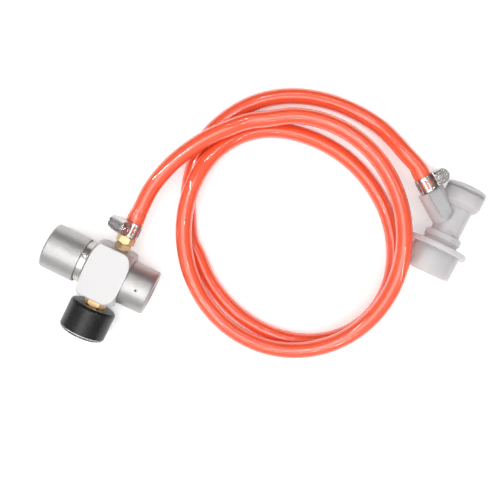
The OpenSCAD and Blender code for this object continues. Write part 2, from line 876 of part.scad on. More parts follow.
module gauge_sector_pin() {
  color("silver") in_gauge() translate([0, sector_pivot, plate_z + seat_gap])
    cylinder(r = sector_pin_r, h = plate_thick + gear_thick + 3 * loose_gap);
}

module gauge_plate() {
  color("goldenrod") in_gauge() difference() {
    union() {
      translate([0, 0, plate_z]) cylinder(r = case_inner_r - seat_gap, h = plate_thick);
      translate([0, 0, movement_z]) cylinder(r = stem_shaft_r, h = plate_z - movement_z + seat_gap);
    }
    translate([0, 0, bourdon_z]) cylinder(r = arbor_r + run_gap, h = plate_z);
    translate([0, sector_pivot, plate_z - over])
      cylinder(r = sector_pin_r + seat_gap, h = plate_thick + 2 * over);
  }
}

// A flattened tube bent round the case, with one end in the stem; gas pressure uncurls it
module bourdon_tube() {
  color("goldenrod") in_gauge() translate([0, 0, bourdon_z])
    rotate(bourdon_foot - 90) rotate_extrude(angle = 250)
      translate([bourdon_r - bourdon_thick / 2, 0]) square([bourdon_thick, bourdon_height]);
}

module hose_lead() {
  color("tomato") {
    on_outlet() translate([0, 0, outlet_collar_height + outlet_hex_height])
      hose_cuff(cuff_end - block_height / 2 - outlet_collar_height - outlet_hex_height);
    tube(lead_route, hose_r, hose_sides, [0, 1, 0], unit(coil_run[0] - coil_first));
  }
}

module hose_coil() {
  n = len(coil_route);
  color("tomato") tube(coil_route, hose_r, coil_sides,
    unit(coil_route[1] - coil_route[0]), unit(coil_route[n - 1] - coil_route[n - 2]));
}

module hose_tail() {
  color("tomato") {
    on_quick_port() hose_cuff(tail_cuff_end);
    tube(tail_route, hose_r, hose_sides, unit(coil_last - coil_run[coil_steps]), -port_way);
  }
}

// Places the pieces of the clamp at the regulator; its screw housing is up and to the knob's side
module on_inlet_clamp() {
  on_outlet() translate([0, 0, outlet_collar_height + outlet_hex_height + cuff_gap + band_width / 2])
    rotate([0, 0, -125]) children();
}

// Places the pieces of the clamp at the disconnect; its screw stands upright
module on_tail_clamp() {
  on_quick_port() translate([0, 0, cuff_gap + band_width / 2]) mirror([0, 1, 0]) children();
}

// The band, with the lap of its two ends under the screw and slots that the screw drives
module clamp_band() {
  lap_r = band_over_r + band_thick;
  difference() {
    translate([0, 0, -band_width / 2]) {
      cylinder(r = band_over_r, h = band_width);
      intersection() {
        cylinder(r = lap_r, h = band_width);
        linear_extrude(band_width) polygon([
          [0, 0], 2 * lap_r * [cos(band_lap / 2), -sin(band_lap / 2)],
          2 * lap_r * [cos(band_lap / 2), sin(band_lap / 2)]
        ]);
      }
    }
    cylinder(r = band_r, h = 2 * band_width, center = true);
    for (i = [0 : slot_count - 1]) rotate(180 + (i - (slot_count - 1) / 2) * slot_step)
      translate([band_r - over, -slot_width / 2, -band_width * slot_length_share / 2])
        cube([band_thick + 2 * over, slot_width, band_width * slot_length_share]);
  }
}

module clamp_housing() {
  inner = housing_r - housing_wall;
  color("silver") difference() {
    rotate([90, 0, 0]) linear_extrude(housing_length, center = true) difference() {
      union() {
        translate([screw_r_place, 0]) circle(r = housing_r);
        translate([band_r, -housing_r]) square([screw_r_place - band_r, 2 * housing_r]);
      }
      translate([screw_r_place, 0]) circle(r = inner);
      translate([band_r - over, -inner]) square([screw_r_place - band_r + over, 2 * inner]);
    }
    cylinder(r = saddle_r, h = 4 * band_width, center = true);
  }
}

// The screw is turned in one piece: head, thread rings, end plate and boss
module clamp_screw() {
  head_foot = -housing_length / 2 - loose_gap - screw_head;
  rings = floor(housing_length / screw_pitch) - 3;
  plate = housing_length / 2 - screw_plate;
  color("silver") translate([screw_r_place, 0, 0]) rotate([-90, 0, 0]) difference() {
    rotate_extrude() polygon(concat(
      [[0, head_foot]],
      arc_points([screw_head_r - screw_edge_r, head_foot + screw_edge_r], screw_edge_r, -90, 0),
      [[screw_head_r, head_foot + screw_head], [worm_core_r, head_foot + screw_head]],
      [for (i = [0 : rings - 1]) each [
        [worm_core_r, (i - rings / 2) * screw_pitch], [worm_r, (i + 0.5 - rings / 2) * screw_pitch]
      ]],
      [
        [worm_core_r, rings / 2 * screw_pitch], [worm_core_r, plate],
        [housing_r - housing_wall - run_gap, plate],
        [housing_r - housing_wall - run_gap, plate + screw_plate],
        [screw_boss_r, plate + screw_plate], [screw_boss_r, plate + 2 * screw_plate],
        [0, plate + 2 * screw_plate]
      ]
    ));
    translate([-housing_r, -screw_slot / 2, head_foot - over])
      cube([2 * housing_r, screw_slot, screw_head / 2 + over]);
  }
}

module inlet_clamp_band() {
  on_inlet_clamp() clamp_band();
}

module inlet_clamp_housing() {
  on_inlet_clamp() clamp_housing();
}

module inlet_clamp_screw() {
  on_inlet_clamp() clamp_screw();
}

module tail_clamp_band() {
  on_tail_clamp() clamp_band();
}

module tail_clamp_housing() {
  on_tail_clamp() clamp_housing();
}

module tail_clamp_screw() {
  on_tail_clamp() clamp_screw();
}

module disconnect_body() {
  notch_r = stem_r + notch_step;
  color("lightgray", 0.8) difference() {
    union() {
      in_quick() rotate_extrude() polygon([
        [0, cap_thick], [head_r, cap_thick], [head_r, head_end], [notch_r, taper_end],
        [stem_r, taper_end + stem_step], [stem_r, ring_start], [ring_r - ring_slope / 2, ring_start],
        [ring_r, ring_start + ring_slope], [ring_r, ring_end - ring_slope],
        [tube_r, ring_end], [tube_r, tube_end], [0, tube_end]
      ]);
      on_quick_port() {
        translate([0, 0, -quick_port_reach]) cylinder(d = quick_port_d, h = quick_port_reach);
        barbed_tail(quick_barb);
      }
    }
    in_quick() {
      cylinder(r = cap_plug_r + seat_gap, h = cap_plug_end + loose_gap);
      cylinder(r = cap_plug_r + 2 * cap_seal_r + 2 * seat_gap, h = cap_thick + cap_seal_pocket);
      cylinder(r = chamber_r, h = chamber_end);
      cylinder(r = valve_hole_r, h = quick_length);
      translate([0, 0, chamber_end + valve_web]) cylinder(r = recess_r, h = quick_length);
      translate([0, 0, seal_bore_start]) cylinder(r = seal_bore_r, h = quick_length);
      translate([0, 0, seal_bore_end])
        cylinder(r1 = seal_bore_r, r2 = socket_r, h = socket_r - seal_bore_r);
      translate([0, 0, seal_bore_end + socket_r - seal_bore_r]) cylinder(r = socket_r, h = quick_length);
      translate([0, 0, tube_end - mouth_depth])
        cylinder(r1 = socket_r, r2 = socket_r + mouth_slope, h = mouth_slope);
      translate([0, 0, retainer_start - seat_gap])
        ring(ring_r, tube_r - retainer_groove, retainer_thick + 2 * seat_gap);
      for (i = [0 : 3]) ball_way(i) cylinder(r = ball_r + run_gap, h = ring_r);
    }
    on_quick_port() translate([0, 0, chamber_r - quick_port_reach])
      cylinder(r = quick_passage_r, h = quick_port_reach - chamber_r + over / 2);
  }
}

// Turns a piece drawn along +Z to point out of the socket's wall at one of the four balls
module ball_way(i) {
  translate([0, 0, ball_z]) rotate([0, 0, 45 + 90 * i]) rotate([0, 90, 0]) children();
}

module disconnect_cap() {
  color("lightgray") in_quick() difference() {
    rotate_extrude() polygon(concat(
      [[0, 0]],
      arc_points([head_r - 2 * cap_dome, 2 * cap_dome], 2 * cap_dome, -90, 0),
      [[head_r, cap_thick], [cap_plug_r, cap_thick], [cap_plug_r, cap_plug_end], [0, cap_plug_end]]
    ));
    translate([0, 0, spring_pocket]) cylinder(r = spring_pocket_r, h = cap_plug_end);
  }
}

module cap_seal() {
  color("black") in_quick() translate([0, 0, cap_thick + cap_seal_pocket / 2])
    rotate_extrude() translate([cap_plug_r + cap_seal_r + seat_gap, 0]) circle(r = cap_seal_r, $fn = 24);
}

module poppet() {
  head = chamber_end - poppet_seal_thick - poppet_head_start;
  color("whitesmoke") in_quick() {
    translate([0, 0, poppet_head_start]) cylinder(r = poppet_head_r, h = head);
    translate([0, 0, poppet_guide_start])
      cylinder(r = poppet_guide_r, h = poppet_head_start - poppet_guide_start);
    translate([0, 0, poppet_head_start]) cylinder(r = poppet_stem_r, h = poppet_tip - poppet_head_start);
  }
}

module poppet_seal() {
  color("black") in_quick() translate([0, 0, chamber_end - poppet_seal_thick])
    ring(poppet_head_r, poppet_stem_r + seat_gap, poppet_seal_thick);
}

module poppet_spring() {
  color("silver") in_quick() translate([0, 0, spring_pocket + seat_gap])
    coil_spring(poppet_spring_r, poppet_wire, poppet_coils, poppet_head_start - spring_pocket - 2 * seat_gap);
}

// Inside the sleeve, a guide rides on the body and a cone below it frees the balls
module locking_sleeve() {
  cam_end = ball_z + sleeve_travel;
  cam_end_r = cam_r + cam_slope * sleeve_travel;
  color("lightgray", 0.8) in_quick() difference() {
    union() {
      translate([0, 0, sleeve_start]) rotate_extrude() polygon(concat(
        [[0, 0]],
        arc_points([flange_r - flange_thick / 4, flange_thick / 4], flange_thick / 4, -90, 0),
        arc_points([flange_r - flange_thick / 4, flange_thick * 3 / 4], flange_thick / 4, 0, 90),
        [[0, flange_thick]]
      ));
      translate([0, 0, sleeve_start]) cylinder(r = sleeve_r, h = quick_length - sleeve_start);
    }
    translate([0, 0, sleeve_start - over]) cylinder(r = lip_r, h = lip_thick + 2 * over);
    translate([0, 0, sleeve_start + lip_thick])
      cylinder(r = spring_bore_r, h = spring_bore_end - sleeve_start - lip_thick);
    cylinder(r = guide_r, h = guide_end + over);
    translate([0, 0, guide_end]) cylinder(r = cam_r, h = quick_length);
    translate([0, 0, ball_z]) cylinder(r1 = cam_r, r2 = cam_end_r, h = sleeve_travel);
    translate([0, 0, cam_end]) cylinder(r = cam_end_r, h = quick_length);
  }
}

module retaining_ring() {
  color("silver") in_quick() translate([0, 0, retainer_start])
    ring(retainer_r, tube_r - retainer_groove + seat_gap, retainer_thick);
}

module sleeve_spring() {
  start = retainer_start + retainer_thick + seat_gap;
  color("silver") in_quick() translate([0, 0, start])
    coil_spring(sleeve_spring_r, sleeve_wire, sleeve_coils, spring_bore_end - start - seat_gap);
}

module lock_ball(i) {
  color("silver") in_quick() ball_way(i) translate([0, 0, ball_out]) sphere(r = ball_r);
}

body_block();
bonnet();
adjusting_knob();
spring_button();
main_spring();
piston();
piston_o_ring();
valve_seat();
valve_pin();
valve_spring();
inlet_adapter();
inlet_filter();
inlet_pin();
inlet_seal();
outlet_fitting();
gauge_stem();
gauge_case();
gauge_lens();
gauge_dial();
gauge_needle();
gauge_sector();
gauge_sector_pin();
gauge_plate();
bourdon_tube();
hose_lead();
hose_coil();
hose_tail();
inlet_clamp_band();
inlet_clamp_housing();
inlet_clamp_screw();
tail_clamp_band();
tail_clamp_housing();
tail_clamp_screw();
disconnect_body();
disconnect_cap();
cap_seal();
poppet();
poppet_seal();
poppet_spring();
locking_sleeve();
sleeve_spring();
retaining_ring();
lock_ball(0);  // lock_ball_1
lock_ball(1);  // lock_ball_2
lock_ball(2);  // lock_ball_3
lock_ball(3);  // lock_ball_4
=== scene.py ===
import json
import math
import bmesh
import bpy
from mathutils import Matrix, Vector


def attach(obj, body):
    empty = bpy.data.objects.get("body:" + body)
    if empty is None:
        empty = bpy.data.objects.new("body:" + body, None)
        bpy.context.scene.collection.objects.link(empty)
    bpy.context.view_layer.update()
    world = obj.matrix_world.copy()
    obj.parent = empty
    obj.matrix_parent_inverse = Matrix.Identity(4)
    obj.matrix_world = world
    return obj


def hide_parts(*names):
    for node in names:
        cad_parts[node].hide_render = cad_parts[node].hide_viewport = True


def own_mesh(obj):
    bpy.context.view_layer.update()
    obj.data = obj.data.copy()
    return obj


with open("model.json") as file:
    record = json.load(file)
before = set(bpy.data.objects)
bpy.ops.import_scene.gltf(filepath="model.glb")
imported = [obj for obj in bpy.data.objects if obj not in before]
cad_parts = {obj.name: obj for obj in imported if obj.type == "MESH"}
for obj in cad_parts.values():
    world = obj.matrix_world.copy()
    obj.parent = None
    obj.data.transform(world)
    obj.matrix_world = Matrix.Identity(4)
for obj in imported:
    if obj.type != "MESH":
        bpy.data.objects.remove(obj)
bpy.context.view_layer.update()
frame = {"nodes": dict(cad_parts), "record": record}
nodes = frame["nodes"]
MM = 0.001


def mm(*point):
    """A point in millimetres as a vector in metres."""
    return Vector(point) * MM


# Places and sizes that part.scad also has, in the row frame and in millimetres.
AXIS_Y, AXIS_Z = 1.5, 14.5
PORT_X = 5.95
BLOCK_FACE_Y = 18.3
BLOCK_BACK_Y = -15.3
OUTLET_HEX_LENGTH = 8.7
GAUGE_STEM_LENGTH = 5.0
DIAL_DEPTH = 13.5
INLET_X = 17.35
INLET_LENGTH = 17.0
CUFF_R, HOSE_R = 5.5, 5.0
QUICK = (179.0, 145.6, 17.9)
PORT_BACK = 25.2
PORT_LENGTH = 24.0
PORT_ANGLE = math.radians(56)
PORT_WAY = (-math.sin(PORT_ANGLE), math.cos(PORT_ANGLE), 0.0)
QUICK_PORT = (
    QUICK[0] + PORT_LENGTH * PORT_WAY[0], QUICK[1] - PORT_BACK + PORT_LENGTH * PORT_WAY[1], QUICK[2])


# Camera
CAMERA_LENS, CAMERA_SENSOR = 47.88, 36.0
CAMERA_PLACE = (58.04, 75.44, 422.3)
CAMERA_RIGHT = (0.896106, 0.443533, 0.016498)
CAMERA_UP = (-0.441447, 0.894514, -0.070491)
CAMERA_BACK = (-0.046023, 0.055885, 0.997376)


def make_camera():
    """The photograph's view: nearly from above, a little toward the knob."""
    camera = bpy.data.objects.new("camera", bpy.data.cameras.new("camera"))
    bpy.context.scene.collection.objects.link(camera)
    camera.data.lens = CAMERA_LENS
    camera.data.sensor_width = CAMERA_SENSOR
    camera.data.clip_start = 0.01
    turn = Matrix((CAMERA_RIGHT, CAMERA_UP, CAMERA_BACK)).transposed().to_4x4()
    camera.matrix_world = Matrix.Translation(mm(*CAMERA_PLACE)) @ turn
    bpy.context.scene.camera = camera


make_camera()


# Mesh tools
def new_piece(name, verts, faces, body="regulator", smooth=True, sharp=35.0):
    """A mesh piece from points in metres, riding on a CAD body."""
    mesh = bpy.data.meshes.new(name)
    mesh.from_pydata([tuple(v) for v in verts], [], faces)
    mesh.validate()
    for polygon in mesh.polygons:
        polygon.use_smooth = smooth
    if smooth:
        mesh.set_sharp_from_angle(angle=math.radians(sharp))
    piece = bpy.data.objects.new(name, mesh)
    bpy.context.scene.collection.objects.link(piece)
    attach(piece, body)
    return piece


def smooth_step(s):
    """Goes from 0 to 1 as s does, with a level start and end."""
    c = max(0.0, min(1.0, s))
    return c * c * (3 - 2 * c)


def spline(points, step):
    """Points along a smooth curve through the given ones, about one step apart."""
    out = []
    count = len(points)
    for i in range(count - 1):
        p1, p2 = points[i], points[i + 1]
        p0 = points[i - 1] if i else p1 * 2 - p2
        p3 = points[i + 2] if i + 2 < count else p2 * 2 - p1
        t1 = math.sqrt((p1 - p0).length)
        t2 = t1 + math.sqrt((p2 - p1).length)
        t3 = t2 + math.sqrt((p3 - p2).length)
        pieces = max(1, round((p2 - p1).length / step))
        for k in range(pieces):
            t = t1 + (t2 - t1) * k / pieces
            a1 = p0 * ((t1 - t) / t1) + p1 * (t / t1)
            a2 = p1 * ((t2 - t) / (t2 - t1)) + p2 * ((t - t1) / (t2 - t1))
            a3 = p2 * ((t3 - t) / (t3 - t2)) + p3 * ((t - t2) / (t3 - t2))
            b1 = a1 * ((t2 - t) / t2) + a2 * (t / t2)
            b2 = a2 * ((t3 - t) / (t3 - t1)) + a3 * ((t - t1) / (t3 - t1))
            out.append(b1 * ((t2 - t) / (t2 - t1)) + b2 * ((t - t1) / (t2 - t1)))
    out.append(points[-1].copy())
    return out


def frames_along(path):
    """A tangent, a side and an up vector at each point, turning as little as they can."""
    count = len(path)
    ways = []
    for i in range(count):
        a, b = path[max(0, i - 1)], path[min(count - 1, i + 1)]
        ways.append((b - a).normalized())
    up = Vector((0, 0, 1))
    if abs(ways[0].dot(up)) > 0.9:
        up = Vector((1, 0, 0))
    found = []
    for way in ways:
        up = (up - way * up.dot(way)).normalized()
        found.append((way, way.cross(up), up))
    return found


def swept(path, radii, sides, inner=None):
    """Points and faces of a tube along a path; with inner radii it has a bore, and ends open."""
    verts, faces = [], []
    walls = [radii] if inner is None else [radii, inner]
    count = len(path)
    along = frames_along(path)
    for wall in walls:
        for point, radius, (way, side, up) in zip(path, wall, along):
            for k in range(sides):
                a = 2 * math.pi * k / sides
                verts.append(point + (side * math.cos(a) + up * math.sin(a)) * radius)

    def ring(wall, i, k):
        return wall * count * sides + i * sides + k % sides

    for wall in range(len(walls)):
        for i in range(count - 1):
            for k in range(sides):
                face = [ring(wall, i, k), ring(wall, i, k + 1),
                        ring(wall, i + 1, k + 1), ring(wall, i + 1, k)]
                faces.append(face if wall == 0 else face[::-1])
    if inner is None:
        faces.append([ring(0, 0, k) for k in range(sides)][::-1])
        faces.append([ring(0, count - 1, k) for k in range(sides)])
    else:
        last = count - 1
        for k in range(sides):
            faces.append([ring(0, 0, k + 1), ring(0, 0, k), ring(1, 0, k), ring(1, 0, k + 1)])
            faces.append([ring(0, last, k), ring(0, last, k + 1),
                          ring(1, last, k + 1), ring(1, last, k)])
    return verts, faces


# The hose's route
# The points are part.scad's, in millimetres; the heights are (turns, height) of the middle line.
LAYER = 10.6
COIL_TURNS = 1.75
COIL_START = 130.0
COIL_STEPS = 24
COIL_SHIFT_FROM, COIL_SHIFT_TURNS = 0.8, 0.3
STRAIGHT = 10.0
BARB_GAP, BARB_MIDDLE = 0.35, 7.0
LEAD_STRAIGHT = (40.5, 44.0)
TAIL_STRAIGHT = (17.0, 13.5)
OVAL_ONE = ((95.8, 72.5), (66.4, 72.0), 32.0)
OVAL_TWO = ((98.5, 71.0), (59.0, 70.0), 66.0)
HEIGHTS = (
    (0.0, HOSE_R + LAYER), (0.3, 26.5), (0.58, HOSE_R + LAYER - 1.6), (0.76, HOSE_R + LAYER),
    (0.85, HOSE_R + LAYER), (0.99, HOSE_R), (2.0, HOSE_R),
)
LEAD_POINTS = ((6.3, 60, 15), (11.5, 80, 15.6), (22, 100, 16), (32, 112.6, 16))
TAIL_POINTS = (
    (32.4, 56, 5), (26, 70, 5), (22.4, 86, 5), (22, 102, 5), (28.5, 120, 5), (40.5, 136.5, 5),
    (57, 148.6, 5), (77, 155.8, 5), (97, 158, 5.6), (115, 156, 8.6), (127, 151.4, 13.4),
    (135.6, 147.1, 17),
)


def oval_point(oval, angle):
    """A point on a tilted oval, given as its middle, its two half widths and its tilt in degrees."""
    (x, y), (major, minor), tilt = oval
    u, t = math.radians(angle - tilt), math.radians(tilt)
    a, b = major * math.cos(u), minor * math.sin(u)
    return x + a * math.cos(t) - b * math.sin(t), y + a * math.sin(t) + b * math.cos(t)


def coil_height(turn):
    """The middle line's height after a number of turns."""
    for (t0, z0), (t1, z1) in zip(HEIGHTS, HEIGHTS[1:]):
        if turn <= t1:
            return z0 + (z1 - z0) * smooth_step((turn - t0) / (t1 - t0))
    return HEIGHTS[-1][1]


def coil_point(turn):
    """The middle of the hose in its coil after a number of turns, in millimetres."""
    angle = COIL_START - 360.0 * turn
    share = smooth_step((turn - COIL_SHIFT_FROM) / COIL_SHIFT_TURNS)
    x1, y1 = oval_point(OVAL_ONE, angle)
    x2, y2 = oval_point(OVAL_TWO, angle)
    return Vector((x1 + (x2 - x1) * share, y1 + (y2 - y1) * share, coil_height(turn)))


def hose_route():
    """The whole hose's middle line in millimetres, from barb to barb."""
    steps = round(COIL_STEPS * COIL_TURNS)
    coil = [coil_point(i * COIL_TURNS / steps) for i in range(steps + 1)]
    first = coil[0] - (coil[1] - coil[0]).normalized() * STRAIGHT
    last = coil[-1] + (coil[-1] - coil[-2]).normalized() * STRAIGHT
    hex_top = BLOCK_FACE_Y + OUTLET_HEX_LENGTH
    lead_ys = (hex_top + BARB_GAP, hex_top + BARB_MIDDLE) + LEAD_STRAIGHT
    lead = [Vector((PORT_X, y, AXIS_Z)) for y in lead_ys]
    port, way = Vector(QUICK_PORT), Vector(PORT_WAY)
    tail = [port + way * s for s in TAIL_STRAIGHT + (BARB_MIDDLE, BARB_GAP)]
    before = [Vector(p) for p in LEAD_POINTS] + [first]
    after = [last] + [Vector(p) for p in TAIL_POINTS]
    return lead + before + coil + after + tail


# The hose's skin, in millimetres: a cuff over each barb, which shows the barb's ridges.
HOSE_STEP, HOSE_SIDES = 1.8, 32
HOSE_PLAY = 0.02
CUFF_LENGTH, CUFF_TAPER = 13.2, 4.2
RIDGE_HEIGHT, RIDGE_PITCH = 0.10, 3.57
RIDGE_START, RIDGES_END, RIDGES_FADE = 1.0, 12.5, 1.5
MOUTH_DEPTH, MOUTH_LENGTH = 0.35, 0.9
BITE_DEPTH, BITE_FROM, BITE_TO, BITE_EDGE = 0.12, 0.6, 9.6, 0.6
BORE_R, BORE_GROWTH = 3.0, 1.08


def make_hose():
    """The hose as one tube with a bore, in the place of its three solids."""
    path = [Vector((p.x, p.y, max(p.z, HOSE_R))) * MM for p in spline(hose_route(), HOSE_STEP)]
    run = [0.0]
    for a, b in zip(path, path[1:]):
        run.append(run[-1] + (b - a).length)
    total = run[-1]
    outer, inner = [], []
    for s in run:
        near = min(s, total - s) / MM
        grown = 1 - smooth_step((near - CUFF_LENGTH) / CUFF_TAPER)
        wave = math.cos(2 * math.pi * (near - RIDGE_START) / RIDGE_PITCH)
        ridges = RIDGE_HEIGHT * wave * smooth_step((RIDGES_END - near) / RIDGES_FADE)
        mouth = -MOUTH_DEPTH * (1 - smooth_step(near / MOUTH_LENGTH))
        bite = -BITE_DEPTH * smooth_step((near - BITE_FROM) / BITE_EDGE)
        bite *= smooth_step((BITE_TO - near) / BITE_EDGE)
        radius = HOSE_R - HOSE_PLAY + (CUFF_R - HOSE_R) * grown
        outer.append((radius + ridges * grown + mouth + bite * grown) * MM)
        inner.append((BORE_R + BORE_GROWTH * grown) * MM)
    verts, faces = swept(path, outer, HOSE_SIDES, inner)
    hose = new_piece("hose", verts, faces, sharp=50)
    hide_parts("hose_lead", "hose_coil", "hose_tail")
    return hose, path, total


hose, hose_path, hose_length = make_hose()


# Materials
LATHE_SHARE, LATHE_DARK = 0.35, 0.8
RELIEF_STRENGTH, LEAST_ROUGHNESS = 0.5, 0.02


def link(tree, a, b):
    tree.links.new(a, b)


def add_node(tree, kind, **values):
    node = tree.nodes.new(kind)
    for key, value in values.items():
        setattr(node, key, value)
    return node


def math_node(tree, operation, a, b=None):
    """The result of a Math node; each operand is a number or another node's output."""
    node = add_node(tree, "ShaderNodeMath", operation=operation)
    for slot, value in zip(node.inputs, (a, b)):
        if value is None:
            continue
        if isinstance(value, (int, float)):
            slot.default_value = value
        else:
            link(tree, value, slot)
    return node.outputs[0]


def object_coords(tree):
    """Coordinates in metres that stay with the piece."""
    return add_node(tree, "ShaderNodeTexCoord").outputs["Object"]


def turned_coords(tree, centre, axis, around=0.0015):
    """Coordinates that follow a lathe's marks: along the axis, out from it, and slowly round it."""
    moved = add_node(tree, "ShaderNodeVectorMath", operation="SUBTRACT")
    link(tree, object_coords(tree), moved.inputs[0])
    moved.inputs[1].default_value = mm(*centre)
    parts = add_node(tree, "ShaderNodeSeparateXYZ")
    link(tree, moved.outputs[0], parts.inputs[0])
    order = {"X": (0, 1, 2), "Y": (1, 2, 0), "Z": (2, 0, 1)}[axis]
    along, u, v = (parts.outputs[i] for i in order)
    radius = math_node(tree, "SQRT", math_node(
        tree, "ADD", math_node(tree, "MULTIPLY", u, u), math_node(tree, "MULTIPLY", v, v)))
    angle = math_node(tree, "MULTIPLY", math_node(tree, "ARCTAN2", v, u), around)
    joined = add_node(tree, "ShaderNodeCombineXYZ")
    for slot, value in zip(joined.inputs, (along, radius, angle)):
        link(tree, value, slot)
    return joined.outputs[0]


def noise(tree, coords, scale, detail=3.0, roughness=0.55):
    """A noise value, its scale in waves per metre."""
    node = add_node(tree, "ShaderNodeTexNoise")
    node.inputs["Scale"].default_value = scale
    node.inputs["Detail"].default_value = detail
    node.inputs["Roughness"].default_value = roughness
    link(tree, coords, node.inputs["Vector"])
    return node.outputs[0]


def ranged(tree, value, low, high, start=0.35, end=0.65):
    """A value that goes from low to high as the given one goes from start to end."""
    node = add_node(tree, "ShaderNodeMapRange")
    node.inputs["From Min"].default_value = start
    node.inputs["From Max"].default_value = end
    node.inputs["To Min"].default_value = low
    node.inputs["To Max"].default_value = high
    link(tree, value, node.inputs["Value"])
    return node.outputs[0]


def mixed(tree, factor, a, b):
    """A colour between two others, each of them three numbers or another node's output."""
    node = add_node(tree, "ShaderNodeMix", data_type="RGBA")
    link(tree, factor, node.inputs["Factor"])
    for slot, colour in ((node.inputs[6], a), (node.inputs[7], b)):
        if hasattr(colour, "links"):
            link(tree, colour, slot)
        else:
            slot.default_value = (*colour, 1)
    return node.outputs[2]


def shade(colour, factor):
    """A colour made darker or lighter by a factor, and never above white."""
    return tuple(min(1.0, c * factor) for c in colour)


def material(name, colour, roughness, metal=0.0, vary=0.06, patch=60.0, rough_vary=0.06,
             bump=0.00002, grain=2500.0, turned=None, **sockets):
    """A material with patchy colour, uneven gloss and fine relief.
    Patch and grain are noise scales per metre, bump is a depth in metres, turned is (centre, axis)
    for lathe marks, and sockets are values for the shader's own inputs."""
    made = bpy.data.materials.new(name)
    made.use_nodes = True
    tree = made.node_tree
    shader = tree.nodes["Principled BSDF"]
    coords = object_coords(tree)
    marks = turned_coords(tree, *turned) if turned else coords
    patches = ranged(tree, noise(tree, coords, patch, 4), 0.0, 1.0)
    base = mixed(tree, patches, shade(colour, 1 - vary), shade(colour, 1 + vary))
    if turned:
        lines = ranged(tree, noise(tree, marks, grain, 2), 0.0, 1.0, 0.3, 0.7)
        share = math_node(tree, "MULTIPLY", lines, LATHE_SHARE)
        base = mixed(tree, share, base, shade(colour, LATHE_DARK))
    link(tree, base, shader.inputs["Base Color"])
    smudges = noise(tree, coords, patch * 3, 5)
    smoothest = max(LEAST_ROUGHNESS, roughness - rough_vary)
    link(tree, ranged(tree, smudges, smoothest, roughness + rough_vary), shader.inputs["Roughness"])
    shader.inputs["Metallic"].default_value = metal
    relief = add_node(tree, "ShaderNodeBump")
    relief.inputs["Strength"].default_value = RELIEF_STRENGTH
    relief.inputs["Distance"].default_value = bump
    link(tree, noise(tree, marks, grain, 3), relief.inputs["Height"])
    link(tree, relief.outputs[0], shader.inputs["Normal"])
    for key, value in sockets.items():
        shader.inputs[key.replace("_", " ")].default_value = value
    return made


MAIN_AXIS = ((0, AXIS_Y, AXIS_Z), "X")
PORT_AXIS = ((PORT_X, 0, AXIS_Z), "Y")
BLASTED = {"vary": 0.07, "patch": 800, "rough_vary": 0.04, "bump": 0.0001, "grain": 2200}
PRESSED = {"metal": 1, "vary": 0.05, "bump": 0.00002, "grain": 1500}
CLEAR = {"Transmission_Weight": 1.0, "IOR": 1.49}
MILKY = {
    "vary": 0.02, "bump": 0.00003, "grain": 700, "Subsurface_Weight": 1.0,
    "Subsurface_Scale": 0.012, "Subsurface_Radius": (1.0, 0.9, 0.9), "IOR": 1.5}
PLASTIC_GREY = (0.57, 0.545, 0.555)
